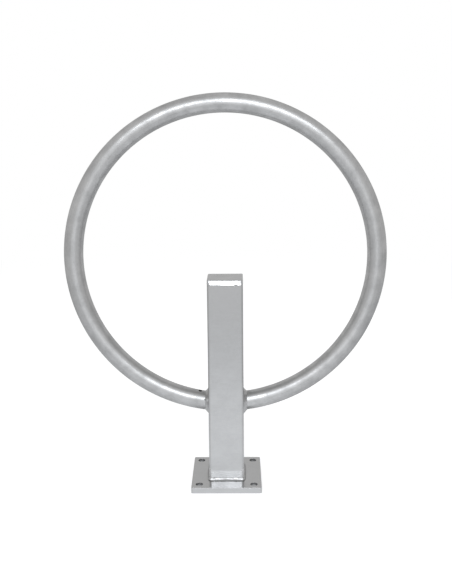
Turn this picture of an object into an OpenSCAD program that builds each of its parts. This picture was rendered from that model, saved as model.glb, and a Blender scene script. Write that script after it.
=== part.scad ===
// Hoop bike rack. One ring of bent round tube butts on the two sides of a
// square post, and is welded there all round. The post stands on a base plate
// with four anchor holes, and a flat cap closes its top. All of it is steel,
// welded and then hot-dip galvanised, and nothing on it moves.
// The origin is the middle of the base plate's underside. +Z is up, the ring
// lies in the XZ plane and -Y is the front.

/* [Hoop] */
// Outside diameter of the hoop
hoop_d = 812; // [780:1:840]
// Outside diameter of the hoop's round tube
hoop_tube_d = 48.3; // [42:0.1:56]
// Wall of the hoop's tube
hoop_wall = 3.2; // [2:0.1:5]
// Height of the top of the hoop above the ground
overall_h = 1000; // [970:1:1060]

/* [Post] */
// Side of the square post
post_w = 90; // [80:1:100]
// Wall of the post
post_wall = 4; // [3:0.1:5]
// Outside radius of the post's long edges
post_corner_r = 6; // [5.5:0.1:8]
// Height of the closed post's top above the ground
post_top_h = 543; // [450:1:620]

/* [Cap] */
// Thickness of the cap plate
cap_t = 10; // [8:0.5:12]
// How far the dressed slope on the cap's front and back stands in, at the top
cap_slope_in = 5.5; // [4:0.1:7]
// How far the cap's front and back edges stand in where it sits on the post
cap_seat_in = 2; // [1:0.1:2.5]
// Depth of the chamfer on the post's end, under the front and back runs
post_chamfer_h = 1.5; // [1:0.1:3]
// Upright land at the toe of the front and back runs, below their slope
cap_weld_land = 0.8; // [0.5:0.1:2]
// Thickness of the front and back runs where they end at the cap's top
cap_weld_lip = 0.8; // [0.5:0.1:2]
// Width of the groove along the cap's lower left and right edges
cap_groove_w = 2.5; // [1.5:0.1:2.8]
// Height of the groove along the cap's lower left and right edges
cap_groove_h = 3.5; // [2:0.1:5]
// Depth of that groove at its top
cap_groove_lip = 0.6; // [0.4:0.1:1.2]

/* [Base plate] */
// Side of the square base plate
plate_w = 180; // [165:1:240]
// Thickness of the base plate
plate_t = 15; // [10:0.5:20]
// Corner radius of the base plate
plate_corner_r = 4; // [2:0.5:10]
// Diameter of each anchor hole
anchor_hole_d = 18; // [14:0.5:20]
// Distance from an anchor hole's centre to the plate's edges
anchor_edge = 20; // [16:0.5:24]
// Diameter of the drain hole under the post
drain_hole_d = 40; // [20:1:60]

/* [Welds] */
// Leg of the foot weld along the base plate
foot_weld_on_plate = 6; // [4:0.1:8]
// Leg of the foot weld up the post
foot_weld_on_post = 8; // [4:0.1:12]
// Thickness of the foot weld where it ends on the post's faces
foot_weld_lip = 0.6; // [0.4:0.1:1.2]
// Leg of the hoop's weld on the post's side
hoop_weld_on_post = 10; // [6:0.1:12]
// Leg of the hoop's weld along the tube
hoop_weld_on_tube = 9; // [6:0.1:12]

/* [Vent holes] */
// Diameter of the vent hole in the hoop
hoop_vent_d = 10; // [6:0.5:14]
// Distance along the tube from the post's side to the vent hole
hoop_vent_reach = 27; // [22:1:40]
// How far the vent hole leans to the front, in degrees
hoop_vent_lean = 5; // [0:1:20]
// Diameter of the vent holes in the post's sides, inside the hoop's ends
post_vent_d = 14; // [8:1:20]

/* [Hidden] */
$fn = 96;

// How far every cut runs past the face that it opens
overrun = 1;
// How far the hoop's weld cone runs on inside the tube, so that its toe is clean
weld_run_in = 2;

// Half the post's side, where its faces lie
post_half = post_w / 2;
// Top of the post tube, which is the seat of the cap
post_seat_h = post_top_h - cap_t;
// Radius of the hoop's centreline
hoop_r = (hoop_d - hoop_tube_d) / 2;
// Height of the hoop's centre
hoop_centre_h = overall_h - hoop_d / 2;
// Height at which the hoop's centreline meets the post's sides
hoop_end_h = hoop_centre_h - sqrt(hoop_r * hoop_r - post_half * post_half);
// Angle at the hoop's centre from straight down to one of its ends
hoop_end_angle = asin(post_half / hoop_r);
// Degrees in a radian
radian = 180 / PI;
// Angle at the hoop's centre from straight down to the vent hole
hoop_vent_angle = hoop_end_angle + hoop_vent_reach / hoop_r * radian;

zinc_plate = [0.66, 0.67, 0.68];
zinc_tube = [0.74, 0.75, 0.76];
zinc_post = [0.70, 0.71, 0.73];
zinc_weld = [0.80, 0.81, 0.82];

// Flat outline with rounded corners, centred
module rounded_outline(width, depth, radius) {
    square([width - 2 * radius, depth], center = true);
    square([width, depth - 2 * radius], center = true);
    for (side = [-1, 1])
        for (end = [-1, 1])
            translate([side * (width / 2 - radius), end * (depth / 2 - radius)])
                circle(r = radius);
}

// Straight bar along X, of the outline that its children draw in Y and Z
module bar_along_x(length) {
    rotate([90, 0, 90])
        linear_extrude(height = length, center = true)
            children();
}

// Solid of the post's full outline between two heights
module post_block(low, high) {
    translate([0, 0, low])
        linear_extrude(height = high - low)
            rounded_outline(post_w, post_w, post_corner_r);
}

// The hoop as a whole ring of a given tube diameter, before its ends are cut
module ring(tube_d) {
    translate([0, 0, hoop_centre_h])
        rotate([90, 0, 0])
            rotate_extrude()
                translate([hoop_r, 0])
                    circle(d = tube_d);
}

// Base plate, sheared square with its corners rounded and its holes drilled
module base_plate() {
    hole_at = plate_w / 2 - anchor_edge;
    color(zinc_plate)
        difference() {
            linear_extrude(height = plate_t)
                rounded_outline(plate_w, plate_w, plate_corner_r);
            for (side = [-1, 1])
                for (end = [-1, 1])
                    translate([side * hole_at, end * hole_at, -overrun])
                        cylinder(h = plate_t + 2 * overrun, d = anchor_hole_d);
            translate([0, 0, -overrun])
                cylinder(h = plate_t + 2 * overrun, d = drain_hole_d);
        }
}

// Square hollow section, with its end chamfered for the cap's front and back
// runs, and one vent hole in each side, inside the hoop's ends
module post_tube() {
    inner_w = post_w - 2 * post_wall;
    inner_r = post_corner_r - post_wall;
    color(zinc_post)
        difference() {
            post_block(plate_t, post_seat_h);
            translate([0, 0, plate_t - overrun])
                linear_extrude(height = post_seat_h - plate_t + 2 * overrun)
                    rounded_outline(inner_w, inner_w, inner_r);
            for (turn = [0, 180])
                rotate([0, 0, turn])
                    post_end_chamfer();
            translate([0, 0, hoop_end_h])
                rotate([0, 90, 0])
                    cylinder(h = post_w + 2 * overrun, d = post_vent_d, center = true);
        }
}

// What the chamfer takes off the back edge of the post's end
module post_end_chamfer() {
    bar_along_x(post_w + 2 * overrun)
        polygon([
            [post_half - cap_seat_in, post_seat_h],
            [post_half, post_seat_h - post_chamfer_h],
            [post_half + overrun, post_seat_h - post_chamfer_h],
            [post_half + overrun, post_seat_h + overrun],
            [post_half - cap_seat_in, post_seat_h + overrun],
        ]);
}

// The cap's block, whose front and back edges slope in towards the top
module cap_block() {
    foot_y = post_half - cap_seat_in;
    top_y = post_half - cap_slope_in - cap_weld_lip;
    intersection() {
        post_block(post_seat_h, post_top_h);
        bar_along_x(post_w + 2 * overrun)
            polygon([
                [-foot_y, post_seat_h],
                [foot_y, post_seat_h],
                [top_y, post_top_h],
                [-top_y, post_top_h],
            ]);
    }
}

// Groove along the cap's lower right edge, which the side run fills
module cap_groove() {
    rotate([0, 0, -90])
        bar_along_x(post_w + 2 * overrun)
            polygon([
                [post_half - cap_groove_w, post_seat_h],
                [post_half + overrun, post_seat_h],
                [post_half + overrun, post_seat_h + cap_groove_h],
                [post_half - cap_groove_lip, post_seat_h + cap_groove_h],
            ]);
}

// Flat cap plate, which sits on the post's end
module post_cap() {
    color(zinc_post)
        difference() {
            cap_block();
            for (turn = [0, 180])
                rotate([0, 0, turn])
                    cap_groove();
        }
}

// Run on the back edge of the cap, dressed to one slope from the post's
// chamfer to the cap's top
module cap_slope_run() {
    color(zinc_weld)
        intersection() {
            post_block(post_seat_h - post_chamfer_h, post_top_h);
            bar_along_x(post_w + 2 * overrun)
                polygon([
                    [post_half, post_seat_h - post_chamfer_h],
                    [post_half, post_seat_h - post_chamfer_h + cap_weld_land],
                    [post_half - cap_slope_in, post_top_h],
                    [post_half - cap_slope_in - cap_weld_lip, post_top_h],
                    [post_half - cap_seat_in, post_seat_h],
                ]);
        }
}

module cap_weld_back() {
    cap_slope_run();
}

module cap_weld_front() {
    rotate([0, 0, 180])
        cap_slope_run();
}

// Run in the groove along the cap's right edge, dressed flush with the post
module cap_weld_right() {
    color(zinc_weld)
        intersection() {
            cap_block();
            cap_groove();
        }
}

module cap_weld_left() {
    mirror([1, 0, 0])
        cap_weld_right();
}

// Bent ring of round tube, cut square to the post where it butts on its sides,
// with one vent hole on its inner side near the left end
module hoop_tube() {
    cut_h = hoop_r + hoop_tube_d;
    color(zinc_tube)
        difference() {
            ring(hoop_tube_d);
            ring(hoop_tube_d - 2 * hoop_wall);
            translate([-post_half, -hoop_tube_d, hoop_centre_h - cut_h])
                cube([post_w, 2 * hoop_tube_d, cut_h]);
            translate([0, 0, hoop_centre_h])
                rotate([0, hoop_vent_angle, 0])
                    translate([0, 0, -hoop_r])
                        rotate([hoop_vent_lean, 0, 0])
                            cylinder(h = hoop_tube_d / 2 + overrun, d = hoop_vent_d);
        }
}

// Bead all round the hoop's right end: a cone on the post's side, less the tube.
// On a hoop set so low that the beads meet, it stops at the plate and its weld.
module hoop_weld_right() {
    slope = hoop_weld_on_post / hoop_weld_on_tube;
    foot_r = hoop_tube_d / 2 + hoop_weld_on_post;
    reach = hoop_weld_on_tube + weld_run_in;
    color(zinc_weld)
        difference() {
            translate([post_half, 0, hoop_end_h])
                rotate([0, 90, 0])
                    cylinder(h = reach, r1 = foot_r, r2 = foot_r - slope * reach);
            ring(hoop_tube_d);
            foot_weld_right();
            translate([-post_w, -post_w, 0])
                cube([2 * post_w, 2 * post_w, plate_t]);
        }
}

module hoop_weld_left() {
    mirror([1, 0, 0])
        hoop_weld_right();
}

// Section through the foot weld, out from the centre of the post's corner arc
module foot_weld_section() {
    polygon([
        [post_corner_r, 0],
        [post_corner_r + foot_weld_on_plate, 0],
        [post_corner_r + foot_weld_lip, foot_weld_on_post],
        [post_corner_r, foot_weld_on_post],
    ]);
}

// One run of the foot weld, along the post's back face and half way round the
// corner at each end, where the next run meets it
module foot_weld_run() {
    corner_at = post_half - post_corner_r;
    color(zinc_weld)
        translate([0, 0, plate_t]) {
            bar_along_x(2 * corner_at)
                translate([corner_at, 0])
                    foot_weld_section();
            for (side = [0, 1])
                mirror([side, 0, 0])
                    translate([-corner_at, corner_at, 0])
                        rotate([0, 0, 90])
                            rotate_extrude(angle = 45)
                                foot_weld_section();
        }
}

module foot_weld_back() {
    foot_weld_run();
}

module foot_weld_left() {
    rotate([0, 0, 90])
        foot_weld_run();
}

module foot_weld_front() {
    rotate([0, 0, 180])
        foot_weld_run();
}

module foot_weld_right() {
    rotate([0, 0, -90])
        foot_weld_run();
}

base_plate();
post_tube();
post_cap();
hoop_tube();
hoop_weld_left();
hoop_weld_right();
foot_weld_front();
foot_weld_back();
foot_weld_left();
foot_weld_right();
cap_weld_front();
cap_weld_back();
cap_weld_left();
cap_weld_right();
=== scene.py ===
import math

import bmesh
import bpy
import numpy as np
from mathutils import Matrix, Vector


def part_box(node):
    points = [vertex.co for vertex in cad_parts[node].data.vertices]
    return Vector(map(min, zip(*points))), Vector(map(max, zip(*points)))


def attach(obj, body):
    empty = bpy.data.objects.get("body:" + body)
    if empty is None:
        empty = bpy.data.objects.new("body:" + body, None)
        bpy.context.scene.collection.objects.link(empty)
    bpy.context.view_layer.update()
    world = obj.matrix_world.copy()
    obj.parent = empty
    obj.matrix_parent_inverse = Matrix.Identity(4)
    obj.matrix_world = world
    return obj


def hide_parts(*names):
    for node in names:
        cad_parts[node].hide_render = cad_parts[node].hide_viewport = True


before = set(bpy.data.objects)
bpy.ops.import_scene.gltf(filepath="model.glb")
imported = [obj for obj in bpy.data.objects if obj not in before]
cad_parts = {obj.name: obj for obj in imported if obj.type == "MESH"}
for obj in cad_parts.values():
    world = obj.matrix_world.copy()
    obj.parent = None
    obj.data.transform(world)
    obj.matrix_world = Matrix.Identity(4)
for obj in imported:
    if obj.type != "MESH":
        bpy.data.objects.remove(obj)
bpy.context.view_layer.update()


# Base plate: a square of 15 mm structural steel with its corners rounded off,
# drilled for four M16 anchors and once in the middle for draining. It is
# welded under the post, and the whole rack is then dipped in molten zinc.
MM = 0.001
# Points of a mesh that lie closer together than this are one.
SAME_POINT = MM / 1000
# The mill's lines in rolled steel are too fine to show, so they are drawn 3 mm wide.
DRAWN_LINE = 3 * MM
plate_half, _, plate_top = np.array(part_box("base_plate")[1])
plate_corner = 4 * MM
anchor_radius = 9 * MM
anchor_edge = 20 * MM
drain_radius = 20 * MM
plate_edge_round = 0.5 * MM
plate_edge_steps = 3
plate_edge_angle = math.radians(40)
plate_point_gap = 1.5 * MM
plate_ring_shares = np.array([0, 0.12, 0.35, 0.65, 1])


def straight(start, end, gap):
    """Points from start up to end, evenly spaced no wider than gap, without end."""
    start, end = np.array(start), np.array(end)
    count = max(1, math.ceil(np.linalg.norm(end - start) / gap))
    return start + (end - start) * np.arange(count)[:, None] / count


def arc(centre, radius, from_deg, to_deg, gap):
    """Points on a circle from one angle up to another, without the last."""
    sweep = math.radians(to_deg - from_deg)
    count = max(4, math.ceil(abs(sweep) * radius / gap))
    turn = math.radians(from_deg) + sweep * np.arange(count) / count
    return np.array(centre) + radius * np.stack([np.cos(turn), np.sin(turn)], axis=-1)


def quarter_sheet():
    """A quarter of the plate's top: straight rays run from the anchor hole's rim
    to the quarter's outline, which passes round the drain hole."""
    inner = plate_half - plate_corner
    outline = np.concatenate([
        straight((drain_radius, 0), (plate_half, 0), plate_point_gap),
        straight((plate_half, 0), (plate_half, inner), plate_point_gap),
        arc((inner, inner), plate_corner, 0, 90, plate_point_gap / 2),
        straight((inner, plate_half), (0, plate_half), plate_point_gap),
        straight((0, plate_half), (0, drain_radius), plate_point_gap),
        arc((0, 0), drain_radius, 90, 0, plate_point_gap),
    ])
    hole = np.array([plate_half - anchor_edge, plate_half - anchor_edge])
    ray = outline - hole
    rim = hole + anchor_radius * ray / np.linalg.norm(ray, axis=1)[:, None]
    return rim + (outline - rim) * plate_ring_shares[:, None, None]


def grid_quads(rows, columns, closed=False):
    """Quads between the points of a grid, numbered row by row. In a closed grid
    each row's last point joins its first."""
    row = np.arange(rows - 1)[:, None]
    column = np.arange(columns if closed else columns - 1)[None, :]
    following = (column + 1) % columns
    corners = [
        row * columns + column,
        row * columns + following,
        (row + 1) * columns + following,
        (row + 1) * columns + column,
    ]
    return np.stack(corners, axis=-1).reshape(-1, 4)


def steel_mesh(name, points, faces, material, outward=True, crease_deg=38):
    """One mesh from points and faces. Points that coincide are joined, faces turn
    outwards, and only edges sharper than the crease angle stay sharp."""
    mesh = bpy.data.meshes.new(name)
    mesh.from_pydata(points.reshape(-1, 3).tolist(), [], faces.tolist())
    shell = bmesh.new()
    shell.from_mesh(mesh)
    bmesh.ops.remove_doubles(shell, verts=shell.verts, dist=SAME_POINT)
    if outward:
        bmesh.ops.recalc_face_normals(shell, faces=shell.faces)
    shell.to_mesh(mesh)
    shell.free()
    mesh.polygons.foreach_set("use_smooth", np.ones(len(mesh.polygons), bool))
    mesh.set_sharp_from_angle(angle=math.radians(crease_deg))
    mesh.materials.append(material)
    return mesh


def hex_colour(code):
    """The linear colour, with alpha, of an sRGB hex value such as 'a1b2c3'."""
    srgb = np.array([int(code[i:i + 2], 16) for i in (0, 2, 4)]) / 255
    low, high = srgb / 12.92, ((srgb + 0.055) / 1.055) ** 2.4
    return (*np.where(srgb <= 0.04045, low, high), 1.0)


def add_node(tree, kind, settings=None, inputs=None):
    """Adds a node. Its settings are set by name, and each input takes a value or
    a link from another node's output."""
    made = tree.nodes.new(kind)
    for key, value in (settings or {}).items():
        setattr(made, key, value)
    for key, value in (inputs or {}).items():
        if isinstance(value, bpy.types.NodeSocket):
            tree.links.new(value, made.inputs[key])
        else:
            made.inputs[key].default_value = value
    return made


def dipped_zinc(name, tone, crystal, cloud, rough, uneven=1.0, drawn=None, place=None):
    """Hot-dip galvanised steel: a metal whose zinc froze in flat crystals, which
    differ a little in tone and gloss, under soft clouds of duller zinc. Crystals
    and clouds are that many metres wide. Uneven is how strongly tone and relief
    vary. Drawn is how many times the faint lines under the zinc are stretched
    along each axis. Place names the attribute that the pattern follows."""
    crystal_share, line_share = 0.12, 0.35
    tone_swing, gloss_swing = 0.35, 0.25
    swell_depth, swell_strength = 0.2 * MM, 0.4
    line_depth, line_strength, line_least = 0.04 * MM, 0.5, 0.3
    glancing_tone = "e2e2e2"
    material = bpy.data.materials.new(name)
    material.use_nodes = True
    tree = material.node_tree
    tree.nodes.clear()
    if place:
        where = add_node(tree, "ShaderNodeAttribute", {"attribute_name": place}).outputs["Vector"]
    else:
        where = add_node(tree, "ShaderNodeTexCoord").outputs["Object"]
    clouds = add_node(tree, "ShaderNodeTexNoise", inputs={
        "Vector": where, "Scale": 1 / cloud, "Detail": 4.0, "Roughness": 0.5})
    crystals = add_node(tree, "ShaderNodeTexVoronoi", inputs={
        "Vector": where, "Scale": 1 / crystal})
    facet = add_node(tree, "ShaderNodeSeparateColor", inputs={
        "Color": crystals.outputs["Color"]}).outputs["Red"]
    lines_at = add_node(tree, "ShaderNodeMapping", {"vector_type": "TEXTURE"}, {
        "Vector": where, "Scale": drawn or (1, 1, 1)})
    lines = add_node(tree, "ShaderNodeTexNoise", inputs={
        "Vector": lines_at.outputs[0], "Scale": 1 / DRAWN_LINE,
        "Detail": 2.0, "Roughness": 0.6})
    mix = clouds.outputs["Fac"]
    for part, share in ((facet, crystal_share), (lines.outputs["Fac"], line_share)):
        mix = add_node(tree, "ShaderNodeMath", {"operation": "MULTIPLY_ADD"}, {
            0: part, 1: share, 2: mix}).outputs[0]
    centred = add_node(tree, "ShaderNodeMath", {"operation": "SUBTRACT"}, {
        0: mix, 1: (1 + crystal_share + line_share) / 2}).outputs[0]
    shade = add_node(tree, "ShaderNodeMath", {"operation": "MULTIPLY_ADD"}, {
        0: centred, 1: tone_swing * uneven, 2: 1.0})
    colour = add_node(tree, "ShaderNodeVectorMath", {"operation": "SCALE"}, {
        0: hex_colour(tone)[:3], "Scale": shade.outputs[0]})
    gloss = add_node(tree, "ShaderNodeMath", {"operation": "MULTIPLY_ADD"}, {
        0: centred, 1: -gloss_swing, 2: rough})
    ripple = add_node(tree, "ShaderNodeTexNoise", inputs={
        "Vector": where, "Scale": 1 / (cloud / 2), "Detail": 1.0})
    swell = add_node(tree, "ShaderNodeBump", inputs={
        "Strength": swell_strength * uneven, "Distance": swell_depth,
        "Height": ripple.outputs["Fac"]})
    relief = add_node(tree, "ShaderNodeBump", inputs={
        "Strength": line_strength, "Distance": line_depth * (line_least + uneven),
        "Height": lines.outputs["Fac"], "Normal": swell.outputs["Normal"]})
    zinc = add_node(tree, "ShaderNodeBsdfPrincipled", inputs={
        "Base Color": colour.outputs[0], "Metallic": 1.0, "Roughness": gloss.outputs[0],
        "Specular Tint": hex_colour(glancing_tone), "Normal": relief.outputs["Normal"]})
    add_node(tree, "ShaderNodeOutputMaterial", inputs={"Surface": zinc.outputs[0]})
    return material


def finished_piece(mesh, slot, *nodes):
    """Puts a mesh into the scene as a piece that stands for the given nodes."""
    piece = bpy.data.objects.new(mesh.name, mesh)
    bpy.context.scene.collection.objects.link(piece)
    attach(piece, "root")
    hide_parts(*nodes)
    return piece


# Zinc on flat rolled plate lies nearly even: a satin sheet that mirrors the white
# room softly and shows only broad, faint clouds.
plate_zinc = dipped_zinc("galvanised_rolled_plate", "a3a3a3", crystal=6 * MM,
                         cloud=40 * MM, rough=0.17, uneven=0.3)
quarter = quarter_sheet()
quarter_faces = grid_quads(*quarter.shape[:2], closed=True)[:, ::-1]
quarter_turns = np.array([1, 1j, -1, -1j])[:, None, None]
spun = (quarter[..., 0] + 1j * quarter[..., 1]) * quarter_turns
sheet_points = np.stack([spun.real, spun.imag, np.full(spun.shape, plate_top)], axis=-1)
sheet_faces = quarter_faces + np.arange(4)[:, None, None] * spun[0].size
plate = finished_piece(
    steel_mesh("base_plate_steel", sheet_points, sheet_faces.reshape(-1, 4), plate_zinc,
               outward=False),
    "galvanised_plate", "base_plate")
thickness = plate.modifiers.new("plate thickness", "SOLIDIFY")
thickness.thickness = plate_top
thickness.offset = -1
edges = plate.modifiers.new("rounded edges", "BEVEL")
edges.width = plate_edge_round
edges.segments = plate_edge_steps
edges.limit_method = "ANGLE"
edges.angle_limit = plate_edge_angle
edges.harden_normals = True


# Post: a length of 90 x 90 x 4 mm square hollow section, sawn square, with one
# vent hole drilled in each side behind the hoop's ends. It stands on the base
# plate, welded all round, and its end is chamfered for the cap's weld.
post_half, _, post_seat = np.array(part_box("post_tube")[1])
post_wall = 4 * MM
post_corner = 6 * MM
post_chamfer = 1.5 * MM
cap_seat_in = 2 * MM
post_vent_radius = 7 * MM
post_vent_rim = 0.4 * MM
post_flat_half = post_half - post_corner
post_half_bend = post_corner * math.pi / 4
post_side = 2 * (post_flat_half + post_half_bend)
post_flat_gap = 4 * MM
post_bend_gap = 0.8 * MM
post_height_gap = 6 * MM
# How high up the post's corners the painted lighter tone reaches.
painted_light_height = 30 * MM
painted_light_past_bend = 0.1 * MM
hoop_outer, tube_radius, hoop_top = np.array(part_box("hoop_tube")[1])
hoop_radius = hoop_outer - tube_radius
hoop_centre = hoop_top - hoop_outer
hoop_end = hoop_centre - math.sqrt(hoop_radius ** 2 - post_half ** 2)


def post_outline(around, depth=0.0):
    """The post's outline: around is the distance along its outside from the
    start of the right side, and depth is how far a point lies inside it. Each
    side is a flat with half a corner's arc at either end."""
    side = np.floor(around / post_side)
    along = around - (side + 0.5) * post_side
    past = np.maximum(np.abs(along) - post_flat_half, 0)
    bend = past / post_corner
    radius = post_corner - depth
    out = post_flat_half + radius * np.cos(bend)
    over = np.sign(along) * (np.minimum(np.abs(along), post_flat_half) + radius * np.sin(bend))
    spun = (out + 1j * over) * 1j ** side
    return np.stack([spun.real, spun.imag], axis=-1)


def post_skin(height, around, depth):
    """The post's wall at a height over the plate, which is stretched a little so
    that its end follows the chamfer at the front and back."""
    place = post_outline(around, depth)
    front = np.maximum(np.abs(place[..., 1]) - (post_half - cap_seat_in), 0)
    end = post_seat - post_chamfer * front / cap_seat_in
    rise = plate_top + (end - plate_top) * (height / (post_seat - plate_top))
    return np.concatenate([place, rise[..., None]], axis=-1)


def window_loop(top, bottom, left, right):
    """The rows and columns of a grid's points once round a window in it, along its
    top, down its right, back along its bottom and up its left."""
    down, over = np.arange(top, bottom), np.arange(left, right)
    rows = [0 * over + top, down, 0 * over + bottom, down[::-1] + 1]
    columns = [over, 0 * down + right, over[::-1] + 1, 0 * down + left]
    return np.concatenate(rows), np.concatenate(columns)


def pierced_wall(skin, along, around, wall, holes, rim):
    """A wall of even thickness round a closed outline, as one grid on each of its
    two faces, joined at the ends. At each hole the grid leaves a window, and
    rings of points run from the window to the hole's rim, which is eased by rim
    on the outside, through the wall, and out to the window on the inside."""
    window_size, rim_bend = 1.7, 0.3
    outer_rings, inner_rings = (0.6, 0.25), (0.3, 0.6)
    rows, columns = len(along), len(around)
    grid = np.meshgrid(along, around, indexing="ij")
    points = [skin(*grid, 0.0).reshape(-1, 3), skin(*grid, wall).reshape(-1, 3)]
    inner = rows * columns
    cells = grid_quads(rows, columns, closed=True)
    ends = np.concatenate([np.arange(columns), inner - columns + np.arange(columns)])
    following = np.where((ends + 1) % columns == 0, ends + 1 - columns, ends + 1)
    faces = [np.stack([ends, following, following + inner, ends + inner], axis=-1)]
    kept = np.ones((rows - 1, columns), bool)
    count = 2 * inner
    for at, turn, radius in holes:
        clear = radius * window_size
        top, bottom = np.searchsorted(along, [at - clear, at + clear])
        left, right = np.searchsorted(around, [turn - clear, turn + clear])
        kept[top:bottom, left:right] = False
        loop_rows, loop_columns = window_loop(top, bottom, left, right)
        window = loop_rows * columns + loop_columns
        ray = along[loop_rows] - at + 1j * (around[loop_columns] - turn)
        reach = np.abs(ray)
        ray = ray / reach
        profile = [(radius + rim + (reach - radius - rim) * share, 0.0) for share in outer_rings]
        profile += [(radius + rim, 0.0), (radius + rim * rim_bend, rim * rim_bend)]
        profile += [(radius, rim), (radius, wall)]
        profile += [(radius + (reach - radius) * share, wall) for share in inner_rings]
        loops = [window]
        for away, depth in profile:
            spot = ray * away
            points.append(skin(at + spot.real, turn + spot.imag, depth))
            loops.append(count + np.arange(len(window)))
            count += len(window)
        loops.append(window + inner)
        for near, far in zip(loops[:-1], loops[1:]):
            faces.append(np.stack([near, np.roll(near, -1), np.roll(far, -1), far], axis=-1))
    cells = cells[kept.reshape(-1)]
    faces = np.concatenate([cells, cells[:, ::-1] + inner, *faces])
    used, faces = np.unique(faces, return_inverse=True)
    return np.concatenate(points)[used], faces.reshape(-1, 4)


def even(start, end, gap):
    """Values from start to end, both kept, evenly spaced no wider than gap."""
    return np.linspace(start, end, math.ceil((end - start) / gap) + 1)


def mesh_points(mesh):
    """The x, the y and the z of a mesh's points."""
    corners = np.empty(3 * len(mesh.vertices), np.float32)
    mesh.vertices.foreach_get("co", corners)
    return corners.reshape(-1, 3).T


def finish_apart(mesh, chosen, material):
    """Gives the faces whose points are all chosen a material of their own."""
    mesh.materials.append(material)
    loops = np.empty(len(mesh.loops), np.int32)
    mesh.loops.foreach_get("vertex_index", loops)
    starts = np.empty(len(mesh.polygons), np.int32)
    mesh.polygons.foreach_get("loop_start", starts)
    whole = np.minimum.reduceat(chosen[loops].astype(np.int32), starts)
    mesh.polygons.foreach_set("material_index", whole)


# Zinc on cold-formed hollow section: a soft satin grey crossed by faint level
# lines, and brighter lower down, where it mirrors the painted pool of light on the floor.
post_zinc = dipped_zinc("galvanised_hollow_section", "a0a0a0", crystal=6 * MM,
                        cloud=45 * MM, rough=0.2, uneven=0.4, drawn=(12, 12, 1))
# Painted light: the rounded corners at the foot get a paler, matt zinc, so
# that the dark reflection of the plate shows no line there beside the bead.
painted_light_zinc = dipped_zinc("painted_light_corner", "c8c8c8", crystal=6 * MM,
                        cloud=20 * MM, rough=0.6, uneven=0.4)
side_marks = np.concatenate([
    even(0, post_half_bend, post_bend_gap)[:-1],
    even(post_half_bend, post_side - post_half_bend, post_flat_gap),
    even(post_side - post_half_bend, post_side, post_bend_gap)[1:-1],
])
post_around = np.concatenate([side_marks + post_side * side for side in range(4)])
post_up = even(0, post_seat - plate_top, post_height_gap)
post_vents = [(hoop_end - plate_top, post_side * (side + 0.5), post_vent_radius)
              for side in (0, 2)]
post_points, post_faces = pierced_wall(post_skin, post_up, post_around, post_wall,
                                       post_vents, post_vent_rim)
post_mesh = steel_mesh("post_hollow_section", post_points, post_faces, post_zinc)
x, y, z = mesh_points(post_mesh)
# Points on the rounded corners near the foot, which get the paler painted tone.
at_corner = np.minimum(np.abs(x), np.abs(y)) > post_flat_half - painted_light_past_bend
finish_apart(post_mesh, at_corner & (z < plate_top + painted_light_height), painted_light_zinc)
finished_piece(post_mesh, "galvanised_post", "post_tube")


# Cap: a flat plate that closes the post's end, of the post's finish. Its front
# and back edges slope in, for the runs that join it there, and a shallow groove
# is cut along its lower left and right edges for the other two.
cap_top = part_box("post_cap")[1][2]
cap_slope_in = 5.5 * MM
cap_weld_lip = 0.8 * MM
cap_groove_width = 2.5 * MM
cap_groove_height = 3.5 * MM
cap_groove_lip = 0.6 * MM
cap_edge_round = 0.4 * MM
cap_edge_rolls = np.radians([22.5, 45, 67.5, 90])
cap_side_share = 0.4
cap_side_step, cap_bend_step = 0.04, 0.025
cap_row_gap = 2 * MM
cap_ridge_share = 0.25


def cap_limits(height):
    """How far the cap reaches to each side and to front and back at a height: it
    stops at the groove's slanted bottom, and at its sloping front and back."""
    groove = np.clip((height - post_seat) / cap_groove_height, 0, 1)
    slope = (height - post_seat) / (cap_top - post_seat)
    across = np.where(height < post_seat + cap_groove_height,
                      post_half - cap_groove_width + (cap_groove_width - cap_groove_lip) * groove,
                      post_half)
    return across, post_half - cap_seat_in - (cap_slope_in + cap_weld_lip - cap_seat_in) * slope


def cap_outline(turn, height, inset=0.0):
    """The cap's outline at a height: turn goes once round from 0 to 4. Each
    quarter runs half a side, round the post's corner and half a front or back,
    cut off where the cap stops short."""
    across, deep = cap_limits(height)
    quarter = np.floor(turn)
    share = turn - quarter
    odd = quarter % 2 == 1
    share = np.where(odd, 1 - share, share)
    radius = post_corner - inset
    start = np.arccos(np.clip((across - inset - post_flat_half) / radius, 0, 1))
    end = np.arcsin(np.clip((deep - inset - post_flat_half) / radius, 0, 1))
    round_corner = np.clip((share - cap_side_share) / (1 - 2 * cap_side_share), 0, 1)
    bend = start + (end - start) * round_corner
    side_end = np.minimum(post_flat_half + radius * np.sin(start), deep - inset)
    front_start = np.minimum(post_flat_half + radius * np.cos(end), across - inset)
    x = np.minimum(post_flat_half + radius * np.cos(bend), across - inset)
    y = np.minimum(post_flat_half + radius * np.sin(bend), deep - inset)
    x = np.where(share > 1 - cap_side_share, front_start * (1 - share) / cap_side_share, x)
    y = np.where(share < cap_side_share, side_end * share / cap_side_share, y)
    return np.stack([np.where((quarter == 1) | (quarter == 2), -x, x),
                     np.where(quarter >= 2, -y, y), height + 0 * x], axis=-1)


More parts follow.
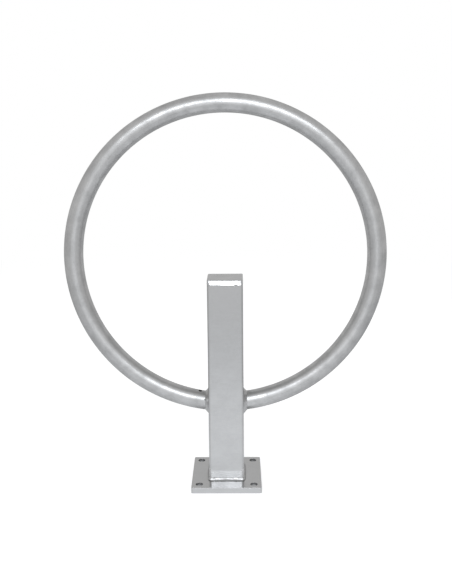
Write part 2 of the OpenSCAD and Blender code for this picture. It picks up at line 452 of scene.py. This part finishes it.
quarter_marks = np.concatenate([
    even(0, cap_side_share, cap_side_step),
    even(cap_side_share, 1 - cap_side_share, cap_bend_step)[1:],
    even(1 - cap_side_share, 1, cap_side_step)[1:],
])
cap_turn = np.concatenate([quarter_marks, 2 - quarter_marks[-2::-1], 2 + quarter_marks[1:],
                           4 - quarter_marks[-2:0:-1]])
cap_heights = [*even(post_seat, post_seat + cap_groove_height - SAME_POINT, cap_row_gap),
               *even(post_seat + cap_groove_height, cap_top - cap_edge_round, cap_row_gap)]
cap_insets = [0.0] * len(cap_heights)
cap_heights += [cap_top - cap_edge_round * (1 - math.sin(roll)) for roll in cap_edge_rolls]
cap_insets += [cap_edge_round * (1 - math.cos(roll)) for roll in cap_edge_rolls]
cap_rows = [cap_outline(cap_turn, np.full(cap_turn.shape, height), inset)
            for height, inset in zip(cap_heights, cap_insets)]
flatten = [np.array([cap_ridge_share + (1 - cap_ridge_share) * share, share, 1])
           for share in (0.9, 0.6, 0.3, 0)]
cap_rows = [cap_rows[0] * squash for squash in flatten[::-1]] + cap_rows
cap_rows += [cap_rows[-1] * squash for squash in flatten]
cap_faces = grid_quads(len(cap_rows), len(cap_turn), closed=True)
finished_piece(steel_mesh("post_cap_plate", np.array(cap_rows), cap_faces, post_zinc),
               "galvanised_post", "post_cap")


# Hoop: one length of 48.3 x 3.2 mm round tube, rolled into a ring and sawn so
# that both ends butt flat on the post's sides. A vent hole is drilled in its
# inner side near the left end, so that air and zinc can pass in the bath.
hoop_wall = 3.2 * MM
hoop_vent_radius = 5 * MM
hoop_vent_rim = 0.15 * MM
hoop_vent_reach = 27 * MM
hoop_vent_lean = math.radians(5)
hoop_length = hoop_radius * (2 * math.pi - 2 * math.asin(post_half / hoop_radius))
hoop_along_gap = 4.6 * MM
hoop_around_gap = 1.7 * MM
tube_girth = 2 * math.pi * tube_radius
tube_relief_depth = 0.05 * MM
tube_relief_sink = 1.1
tube_relief_fades = 0.5 * MM
# How far inside the tube's outside the painted shade starts.
painted_shade_under = 0.12 * MM


def unevenness(shortest, longest, count, random):
    """Settings of waves that add up to an uneven surface: how often each turns a
    metre along the tube, how often round it, 2 to 25 times, its phase, and its
    share, which grows with its length."""
    length = np.exp(random.uniform(np.log(shortest), np.log(longest), count))
    share = (length / longest) ** 0.8
    return (2 * math.pi / length * random.choice([-1, 1], count),
            random.integers(2, 26, count), random.uniform(0, 2 * math.pi, count),
            share / math.sqrt(np.sum(share ** 2) / 2))


tube_relief = unevenness(60 * MM, 500 * MM, 40, np.random.default_rng(11))


def wave_sum(waves, along, turn):
    """The sum of sine waves at distances along and angles round a tube."""
    height = np.zeros(np.broadcast(along, turn).shape)
    for often, round_times, phase, share in zip(*waves):
        height += share * np.sin(often * along + round_times * turn + phase)
    return height


def hoop_place(offset, turn, away):
    """A point of the hoop: offset is its angle past the right end as seen from the
    ring's centre, turn its angle round the tube from the outer side to the front,
    and away its distance from the tube's centreline. The angle at the end is
    where a ring of that radius meets the post's side."""
    radius = hoop_radius + away * np.cos(turn)
    sweep = np.arcsin(post_half / radius) + offset
    return np.stack([radius * np.sin(sweep), -away * np.sin(turn),
                     hoop_centre - radius * np.cos(sweep)], axis=-1)


def hoop_skin(along, around, depth):
    """The hoop's wall: along is a distance from the right end, around a distance
    round the tube's outside, and depth how far inside a point lies. The relief
    sinks the outside a little everywhere, and fades within the wall."""
    turn = around / tube_radius
    relief = np.tanh(wave_sum(tube_relief, along, turn)) - tube_relief_sink
    uneven = tube_relief_depth * relief
    away = tube_radius - depth + uneven * np.maximum(1 - depth / tube_relief_fades, 0)
    radius = hoop_radius + away * np.cos(turn)
    span = 2 * math.pi - 2 * np.arcsin(post_half / radius)
    return hoop_place(span * along / hoop_length, turn, away)


vent_turn = math.pi - hoop_vent_lean
vent_sweep = math.asin(post_half / hoop_radius) + hoop_vent_reach / hoop_radius
end_sweep = math.asin(post_half / (hoop_radius + tube_radius * math.cos(vent_turn)))
vent_at = hoop_length * (1 - (vent_sweep - end_sweep) / (2 * math.pi - 2 * end_sweep))
hoop_points, hoop_faces = pierced_wall(
    hoop_skin, even(0, hoop_length, hoop_along_gap), even(0, tube_girth, hoop_around_gap)[:-1],
    hoop_wall, [(vent_at, vent_turn * tube_radius, hoop_vent_radius)], hoop_vent_rim)
# Zinc on bent tube: a broad, soft bright line follows the ring, broken up by
# patches and by long streaks from the tube mill.
hoop_zinc = dipped_zinc("galvanised_round_tube", "a0a0a0", crystal=5 * MM,
                        cloud=30 * MM, rough=0.39, uneven=1.6, drawn=(45, 1, 1),
                        place="laid_straight")
# Painted shade: the inside of the tube is painted dark and dull, so that the vent hole looks
# dark.
painted_shade_zinc = dipped_zinc("painted_shade_inside", "3a3a3a", crystal=5 * MM,
                        cloud=30 * MM, rough=0.6)
hoop_mesh = steel_mesh("hoop_bent_tube", hoop_points, hoop_faces, hoop_zinc)
x, y, z = mesh_points(hoop_mesh)
sweep = np.arctan2(x, hoop_centre - z) % (2 * math.pi)
laid = np.stack([hoop_radius * sweep, np.hypot(x, z - hoop_centre) - hoop_radius, -y], axis=-1)
hoop_mesh.attributes.new("laid_straight", "FLOAT_VECTOR", "POINT").data.foreach_set(
    "vector", laid.reshape(-1))
# Faces inside the tube's outside get the painted shade.
finish_apart(hoop_mesh, np.hypot(laid[:, 1], laid[:, 2]) < tube_radius - painted_shade_under, painted_shade_zinc)
finished_piece(hoop_mesh, "galvanised_hoop", "hoop_tube")


# Hoop welds: one fillet bead all round each end of the hoop. The bead's face
# is a little hollow, with the ripples of the weld pool, and zinc has rounded
# off its toes. The left bead has a small blob in front where it was stopped.
weld_root = 0.1 * MM
weld_toe = 0.12 * MM
weld_ripple = 3.5 * MM
weld_crease_deg = 60
bead_rows, bead_steps, bead_back_steps = 241, 17, 9
hoop_weld_post_leg = 10 * MM
hoop_weld_tube_leg = 9 * MM
hoop_weld_sway = 0.5 * MM
hoop_weld_hollow, hoop_weld_hollow_sway = 0.4 * MM, 0.25 * MM
hoop_ripple_height, hoop_ripple_bow, hoop_ripple_wander = 0.2 * MM, 0.12, 1.5
stop_turn, stop_width = 1.95, 0.08
# A bead of even ripples under bright zinc: a string of small soft glints.
weld_zinc = dipped_zinc("galvanised_weld_bead", "a6a6a6", crystal=3 * MM,
                        cloud=12 * MM, rough=0.4, uneven=0.5)


def waver(turn, low, high, seed):
    """A smooth random rise and fall about one in size, which repeats after a full
    turn: waves that fit low to high times into it, with random phases."""
    random = np.random.default_rng(seed)
    times = np.arange(low, high + 1)
    share = 1 / np.sqrt(times)
    waves = np.cos(np.multiply.outer(turn, times) + random.uniform(0, 2 * math.pi, len(times)))
    return waves @ share / math.sqrt(np.sum(share ** 2) / 2)


def fillet(share, first_leg, second_leg, bulge, fullness=1.0):
    """A closed section through a fillet: its face from the toe on the first leg to
    the toe on the second, bulged out in the middle, then back along both legs a
    little below them. Share is the face's parameter at each of its points. The
    bulge follows a sine's half wave, to a power: the smaller, the rounder the toes."""
    face = np.stack([first_leg * (1 - share), second_leg * share], axis=-1)
    slant = np.hypot(first_leg, second_leg)
    out = np.stack([second_leg / slant, first_leg / slant], axis=-1)
    face = face + out * (weld_toe + bulge * np.sin(math.pi * share) ** fullness)[..., None]
    back = np.linspace(0, 1, bead_back_steps)
    second_end, first_end = face[..., -1, 1], face[..., 0, 0]
    root = np.full((face.shape[0], len(back)), -weld_root)
    up = np.stack([root, second_end[:, None] * (1 - back) - weld_root * back], axis=-1)
    along = np.stack([first_end[:, None] * back - weld_root * (1 - back), root], axis=-1)
    return np.concatenate([face, up, along[:, 1:]], axis=1)


def bar_mesh(name, sections, material, capped=True):
    """The mesh of a bar whose closed sections follow each other, row by row. A
    capped bar's ends are closed by rungs between the two sides of the section."""
    rows, columns = sections.shape[:2]
    faces = grid_quads(rows, columns, closed=True)
    if capped:
        rung = np.arange(columns // 2 - 1)
        end = np.stack([rung, rung + 1, columns - 2 - rung, columns - 1 - rung], axis=-1)
        faces = np.concatenate([faces, end, end + (rows - 1) * columns])
    return steel_mesh(name, sections, faces, material, crease_deg=weld_crease_deg)


bead_turn = np.linspace(0, 2 * math.pi, bead_rows)[:, None]
bead_share = np.linspace(0, 1, bead_steps)
bead_bow = (2 * bead_share - 1) ** 2
bead_round = round(2 * math.pi * (tube_radius + hoop_weld_post_leg / 3) / weld_ripple)
for side, name, seed, stop_size in (
        (1, "hoop_weld_right", 21, 0), (-1, "hoop_weld_left", 22, 2.2 * MM)):
    stop = stop_size * np.exp(-((bead_turn - stop_turn) / stop_width) ** 2)
    # Each sway has its fewest and most waves to a turn, and a seed of its own.
    on_post, on_tube, wander, hollow = (
        waver(bead_turn[:, 0], low, high, seed + more)[:, None]
        for low, high, more in ((3, 14, 0), (3, 14, 10), (2, 6, 20), (3, 20, 30)))
    on_post = hoop_weld_post_leg + hoop_weld_sway * on_post
    on_tube = hoop_weld_tube_leg + hoop_weld_sway * on_tube + stop
    chevron = np.sin(bead_round * (bead_turn + hoop_ripple_bow * bead_bow)
                     + hoop_ripple_wander * wander)
    bulge = (hoop_weld_hollow_sway * hollow - hoop_weld_hollow
             + hoop_ripple_height * chevron + stop)
    section = fillet(bead_share, on_tube, on_post, bulge)
    off_post, off_tube = section[..., 0], section[..., 1]
    ring = hoop_place(off_post / hoop_radius, bead_turn, tube_radius + off_tube)
    ring *= [side, 1, 1]
    finished_piece(bar_mesh(name + "_bead", ring, weld_zinc, capped=False),
                   "galvanised_weld", name)


# Foot welds: four fillet runs round the post's foot, each along one side and
# half way round the corners, where the next one meets it. The bead is full and
# heaviest at the left and right, and its upper toe wanders on the post.
foot_leg_plate, foot_leg_plate_more, foot_plate_sway = 4.2 * MM, 1.4 * MM, 0.15 * MM
foot_leg_post, foot_leg_post_more, foot_post_sway = 6.4 * MM, 0.8 * MM, 0.35 * MM
foot_bulge, foot_bulge_sway, foot_fullness = 0.55 * MM, 0.1 * MM, 0.6
foot_ripple_height, foot_ripple_bow, foot_ripple_wander = 0.08 * MM, 2.0, 1.5
foot_rows = 161
foot_end_short = 1e-9
# A coarse bead laid by hand: lumpy zinc, with bright and dull spots side by side.
foot_zinc = dipped_zinc("galvanised_coarse_bead", "9a9a9a", crystal=3 * MM,
                        cloud=8 * MM, rough=0.36, uneven=1.2)
for side, name in enumerate(
        ("foot_weld_right", "foot_weld_back", "foot_weld_left", "foot_weld_front")):
    around = post_side * (side + np.linspace(0, 1, foot_rows))
    around[-1] -= foot_end_short
    turn = around / (4 * post_side) * 2 * math.pi
    heavy = np.cos(2 * (turn - math.pi / 4))[:, None]
    on_plate, on_post, wander, lumps = (
        waver(turn, low, high, seed)[:, None]
        for low, high, seed in ((8, 60, 41), (12, 90, 42), (4, 16, 43), (10, 60, 44)))
    on_plate = foot_leg_plate + foot_leg_plate_more * heavy + foot_plate_sway * on_plate
    on_post = foot_leg_post + foot_leg_post_more * heavy + foot_post_sway * on_post
    chevron = np.sin(around[:, None] / weld_ripple * 2 * math.pi
                     + foot_ripple_bow * bead_bow + foot_ripple_wander * wander)
    bulge = foot_bulge + foot_bulge_sway * lumps + foot_ripple_height * chevron
    section = fillet(bead_share, on_plate, on_post, bulge, foot_fullness)
    away, up = section[..., 0], section[..., 1]
    spot = post_outline(np.broadcast_to(around[:, None], away.shape), -away)
    run = np.concatenate([spot, (plate_top + up)[..., None]], axis=-1)
    finished_piece(bar_mesh(name + "_bead", run, foot_zinc), "galvanised_weld", name)


# Cap welds: the front run fills the slope from the post's chamfer to the cap's
# top, is ground flat but for its ends, and laps over the post's face with a wavy
# toe and one pit. The back run is square, and the side runs fill the grooves.
slope_rows, slope_lap_steps, slope_face_steps = 121, 5, 13
slope_lip_drop = 0.3 * MM
slope_end_share = 0.18
slope_bulge, slope_bulge_sway = 0.12 * MM, 0.045 * MM
slope_overfill, slope_overfill_rise = 1 * MM, 3 * MM
lap_mean, lap_step, lap_sway, lap_least = 2.6 * MM, 0.85 * MM, 0.12 * MM, 1.75 * MM
lap_step_at, lap_step_steep = -0.2, 6
lap_thick_least, lap_thick_share = 0.15 * MM, 0.415
lip_depth, lip_round = 1.1 * MM, 0.12 * MM
pit_at, pit_width = 0.64, 0.06
pit_depth, pit_lap_less = 0.8 * MM, 1.5 * MM
pit_dull_width, pit_dull_height, pit_dull_low = 3.4 * MM, 1.6 * MM, 1.1
missed_left, missed_left_more, missed_right = 4.3 * MM, 5.5 * MM, 6 * MM
missed_lip, missed_down = 1.4 * MM, 2 * MM
groove_rows, groove_steps = 91, 7
groove_bulge, groove_bulge_sway, groove_least = 0.2 * MM, 0.5, 0.05 * MM
part_turn = 2.2
# A run ground flat before the bath: one even, bright band where it meets the lamp.
dressed_zinc = dipped_zinc("galvanised_dressed_weld", "a6a6a6", crystal=3 * MM,
                           cloud=20 * MM, rough=0.24, uneven=0.15)
# What the grinder missed stayed rough: dull grey that ends the bright band.
missed_zinc = dipped_zinc("galvanised_undressed_weld", "aaaaaa", crystal=3 * MM,
                          cloud=8 * MM, rough=0.85)


def corner_reach(depth):
    """How far the post's rounded outline reaches to each side at a depth."""
    past = np.clip((depth - post_flat_half) / post_corner, 0, 1)
    return post_flat_half + post_corner * np.sqrt(1 - past ** 2)


def missed_by_grinder(mesh):
    """Which points of a sloping run the grinder left dull: those at its two ends,
    where on the left the limit leans inward going down, those along its lip, and
    an oval round its pit."""
    x, y, z = mesh_points(mesh)
    down = np.clip((cap_top - z) / (cap_top - post_seat + missed_down), 0, 1)
    from_pit = np.hypot((x - pit_at * post_half) / pit_dull_width,
                        (z - post_seat) / pit_dull_height + pit_dull_low)
    return ((x < missed_left + missed_left_more * down ** 3 - post_half)
            | (x > post_half - missed_right) | (z > cap_top - missed_lip) | (from_pit < 1))


# The section's hidden side: under the lip, down the cap's slope to its seat, and
# down the post's chamfer.
under_lip = post_half - cap_slope_in - cap_weld_lip
down_slope = np.linspace(0.9, 0, 9)
behind = np.array([
    (under_lip + cap_weld_lip / 2, cap_top - lip_round),
    (under_lip + cap_weld_lip / 2, cap_top - lip_depth),
    (under_lip, cap_top - lip_depth),
    *[(post_half - cap_seat_in + (cap_seat_in - cap_slope_in - cap_weld_lip) * part,
       post_seat + (cap_top - lip_depth - post_seat) * part) for part in down_slope],
    (post_half - cap_seat_in / 2, post_seat - post_chamfer / 2),
    (post_half - weld_root, post_seat - post_chamfer),
    (post_half - weld_root, post_seat - post_chamfer - 2 * weld_root),
])
slope_out = np.array([post_chamfer + cap_top - post_seat, cap_slope_in])
slope_out = slope_out / np.linalg.norm(slope_out)
across = np.sin(np.linspace(-math.pi / 2, math.pi / 2, slope_rows))
pit = np.exp(-((across - pit_at) / pit_width) ** 2)
fall = np.maximum(np.abs(across) - (1 - slope_end_share), 0) / slope_end_share
share = np.linspace(0, 1, slope_face_steps)
below = np.linspace(0, 1, slope_lap_steps)[:-1]
for facing, name, seed, lip_in in (
        (-1, "cap_weld_front", 51, 5.1 * MM), (1, "cap_weld_back", 52, 0.5 * MM)):
    lap = (lap_mean + lap_step * np.tanh(lap_step_steep * (across - lap_step_at))
           + lap_sway * waver(across * part_turn, 2, 14, seed))
    lap = np.maximum(lap - pit_lap_less * pit, lap_least)
    lap = lap + (lap_least - lap) * fall
    lap_thick = lap_thick_least + lap_thick_share * (lap - post_chamfer)
    bulge = slope_bulge + slope_bulge_sway * waver(across * part_turn, 2, 12, seed + 10)
    start = np.stack([post_half + lap_thick, post_seat - lap + lap_thick], axis=-1)[:, None]
    lip = np.array([post_half - lip_in, cap_top - slope_lip_drop])
    face = start + (lip - start) * share[:, None]
    swell = (bulge[:, None] * np.sin(math.pi * share) * (1 - share)
             - pit_depth * pit[:, None] * (1 - share) ** 4)
    face = face + slope_out * (swell * (1 - share ** 10))[..., None]
    lapped = np.stack([
        post_half - weld_root
        + (lap_thick[:, None] + weld_root) * np.sin(math.pi / 2 * below),
        post_seat - lap[:, None] + lap_thick[:, None] * below], axis=-1)
    hidden = np.broadcast_to(behind, (slope_rows, *behind.shape))
    section = np.concatenate([lapped, face, hidden], axis=1)
    depth, height = section[..., 0], section[..., 1]
    overfill = slope_overfill * np.clip((height - post_seat) / slope_overfill_rise, 0, 1)
    reach = corner_reach(depth - overfill)
    run = np.stack([reach * across[:, None], facing * depth, height], axis=-1)
    sloping_mesh = bar_mesh(name + "_bead", run, dressed_zinc)
    finish_apart(sloping_mesh, missed_by_grinder(sloping_mesh), missed_zinc)
    finished_piece(sloping_mesh, "galvanised_weld", name)

length = np.linspace(-1, 1, groove_rows)
rise = np.concatenate([np.linspace(0, 1, groove_steps), np.linspace(1, 0, groove_steps)])
outer = np.arange(2 * groove_steps) < groove_steps
height = post_seat + cap_groove_height * rise
depth = length[:, None] * cap_limits(height)[1]
inner = post_half - cap_groove_width + (cap_groove_width - cap_groove_lip) * rise
for facing, name, seed in ((1, "cap_weld_right", 61), (-1, "cap_weld_left", 62)):
    sway = 1 + groove_bulge_sway * waver(length * part_turn, 2, 14, seed)[:, None]
    bulge = np.where(outer, groove_bulge * np.sin(math.pi * rise) * sway, 0)
    flush = corner_reach(np.abs(depth)) + bulge
    sideways = np.where(outer, flush, np.minimum(inner, flush - groove_least))
    run = np.stack([facing * sideways, depth, np.broadcast_to(height, depth.shape)], axis=-1)
    finished_piece(bar_mesh(name + "_bead", run, dressed_zinc), "galvanised_weld", name)


# Floor, backdrop, lamps and camera: a pale floor in a white room with one
# large soft lamp in front, and the camera where the photograph was taken.
floor_size = 24.0
floor_seen_glow = 0.56
pool_middle, pool_radius = (0, -0.3, 0), 1.1
pool_glow, pool_edge_glow = 0.84, 0.42
white_from, white_at = 1.0, 3.5
room_light = 0.6
bpy.ops.mesh.primitive_plane_add(size=floor_size)
floor = bpy.context.object
floor.name = "floor"

# Pale studio floor paint: white to the camera but for the rack's shadow, and in
# the metal a painted pool of lamp light round the rack's foot that dims outwards.
floor_paint = bpy.data.materials.new("floor_pale")
floor_paint.use_nodes = True
floor_tree = floor_paint.node_tree
floor_tree.nodes.clear()
pale = add_node(floor_tree, "ShaderNodeBsdfPrincipled", inputs={
    "Base Color": hex_colour("cccccc"), "Roughness": 0.45})
floor_place = add_node(floor_tree, "ShaderNodeTexCoord")
floor_rays = add_node(floor_tree, "ShaderNodeLightPath")
seen_glow = add_node(floor_tree, "ShaderNodeMath", {"operation": "MULTIPLY"}, {
    0: floor_rays.outputs["Is Camera Ray"], 1: floor_seen_glow})
seen_floor = add_node(floor_tree, "ShaderNodeEmission", inputs={
    "Color": (1, 1, 1, 1), "Strength": seen_glow.outputs[0]})
# Painted pool of lamp light: a glow on the floor, seen only in reflections, brightest near the
# rack's foot.
pool_distance = add_node(floor_tree, "ShaderNodeVectorMath", {"operation": "DISTANCE"}, {
    0: floor_place.outputs["Object"], 1: pool_middle})
pool = add_node(floor_tree, "ShaderNodeMapRange", {"interpolation_type": "SMOOTHSTEP"}, {
    "Value": pool_distance.outputs["Value"], "From Min": 0.0, "From Max": pool_radius,
    "To Min": pool_glow, "To Max": pool_edge_glow})
gloss_glow = add_node(floor_tree, "ShaderNodeMath", {"operation": "MULTIPLY"}, {
    0: floor_rays.outputs["Is Glossy Ray"], 1: pool.outputs[0]})
painted_light_pool = add_node(floor_tree, "ShaderNodeEmission", inputs={
    "Color": hex_colour("f8fbff"), "Strength": gloss_glow.outputs[0]})
both_glows = add_node(floor_tree, "ShaderNodeAddShader", inputs={
    0: seen_floor.outputs[0], 1: painted_light_pool.outputs[0]})
lit = add_node(floor_tree, "ShaderNodeAddShader", inputs={
    0: pale.outputs[0], 1: both_glows.outputs[0]})
floor_distance = add_node(floor_tree, "ShaderNodeVectorMath", {"operation": "LENGTH"}, {
    0: floor_place.outputs["Object"]})
room_share = add_node(floor_tree, "ShaderNodeMapRange", {"interpolation_type": "SMOOTHSTEP"}, {
    "Value": floor_distance.outputs["Value"], "From Min": white_from, "From Max": white_at})
floor_end = add_node(floor_tree, "ShaderNodeEmission", inputs={
    "Color": (1, 1, 1, 1), "Strength": 1.0})
sweep_up = add_node(floor_tree, "ShaderNodeMixShader", inputs={
    0: room_share.outputs[0], 1: lit.outputs[0], 2: floor_end.outputs[0]})
from_below = add_node(floor_tree, "ShaderNodeBsdfTransparent")
sides = add_node(floor_tree, "ShaderNodeNewGeometry")
sided = add_node(floor_tree, "ShaderNodeMixShader", inputs={
    0: sides.outputs["Backfacing"], 1: sweep_up.outputs[0], 2: from_below.outputs[0]})
add_node(floor_tree, "ShaderNodeOutputMaterial", inputs={"Surface": sided.outputs[0]})
floor.data.materials.append(floor_paint)

# The room is white wherever it is seen, mirrored or looked at through something,
# and lights the rack with less than that.
world = bpy.data.worlds.new("white_room")
bpy.context.scene.world = world
world.use_nodes = True
world_tree = world.node_tree
world_tree.nodes.clear()
rays = add_node(world_tree, "ShaderNodeLightPath")
seen_or_mirrored = add_node(world_tree, "ShaderNodeMath", {"operation": "MAXIMUM"}, {
    0: rays.outputs["Is Camera Ray"], 1: rays.outputs["Is Glossy Ray"]})
seen_anyhow = add_node(world_tree, "ShaderNodeMath", {"operation": "MAXIMUM"}, {
    0: seen_or_mirrored.outputs[0], 1: rays.outputs["Is Transmission Ray"]})
room = add_node(world_tree, "ShaderNodeBackground", inputs={
    "Color": (1, 1, 1, 1), "Strength": room_light})
white = add_node(world_tree, "ShaderNodeBackground", inputs={
    "Color": (1, 1, 1, 1), "Strength": 1.0})
backdrop = add_node(world_tree, "ShaderNodeMixShader", inputs={
    0: seen_anyhow.outputs[0], 1: room.outputs[0], 2: white.outputs[0]})
add_node(world_tree, "ShaderNodeOutputWorld", inputs={"Surface": backdrop.outputs[0]})

# One large soft lamp stands high in front, where the cap's front weld mirrors it,
# and a dim one stands low in front.
lamp_aim = np.array([0, 0, 0.55])
for name, shape, lamp_away, rise_deg, size, radiance in (
        ("soft_lamp", "ELLIPSE", 4.6, 29, (3.95, 1.6), 7.35),
        ("low_soft_lamp", "RECTANGLE", 2.9, 2.5, (2.0, 1.3), 0.65)):
    light = bpy.data.lights.new(name, "AREA")
    light.shape = shape
    light.size, light.size_y = size
    area = size[0] * size[1] * (math.pi / 4 if shape == "ELLIPSE" else 1)
    light.energy = radiance * math.pi * area
    light.color = hex_colour("f6faff")[:3]
    lamp = bpy.data.objects.new(name, light)
    bpy.context.scene.collection.objects.link(lamp)
    lamp_rise = math.radians(rise_deg)
    level = np.array([1, 0, 0])
    towards = np.array([0, -math.cos(lamp_rise), math.sin(lamp_rise)])
    turned = np.stack([level, np.cross(towards, level), towards], axis=-1)
    lamp.matrix_world = Matrix.Translation(lamp_aim + lamp_away * towards) @ Matrix(
        turned.tolist()).to_4x4()
    lamp.visible_camera = False

# The camera was solved from the ring's outlines, the post's edges, and the corners
# and holes of the plate in the photograph.
picture_height = 584
focal_pixels = 752.36
centre_above_middle = 32
camera_place = (0.03329, -1.86587, 0.92617)
camera_yaw, camera_pitch, camera_roll = -0.016325, 0.179863, -0.009716
camera_data = bpy.data.cameras.new("camera")
camera_data.sensor_width = 36.0
camera_data.lens = camera_data.sensor_width * focal_pixels / picture_height
camera_data.shift_y = -centre_above_middle / picture_height
camera = bpy.data.objects.new("camera", camera_data)
bpy.context.scene.collection.objects.link(camera)
ahead = np.array([math.sin(camera_yaw) * math.cos(camera_pitch),
                  math.cos(camera_yaw) * math.cos(camera_pitch), -math.sin(camera_pitch)])
level = np.array([math.cos(camera_yaw), -math.sin(camera_yaw), 0])
upward = np.cross(level, ahead)
rightward = math.cos(camera_roll) * level + math.sin(camera_roll) * upward
upright = -math.sin(camera_roll) * level + math.cos(camera_roll) * upward
camera.matrix_world = Matrix.Translation(camera_place) @ Matrix(
    [[*row, 0] for row in np.stack([rightward, upright, -ahead], axis=-1)] + [[0, 0, 0, 1]])
bpy.context.scene.camera = camera
bpy.context.scene.view_settings.view_transform = "Standard"
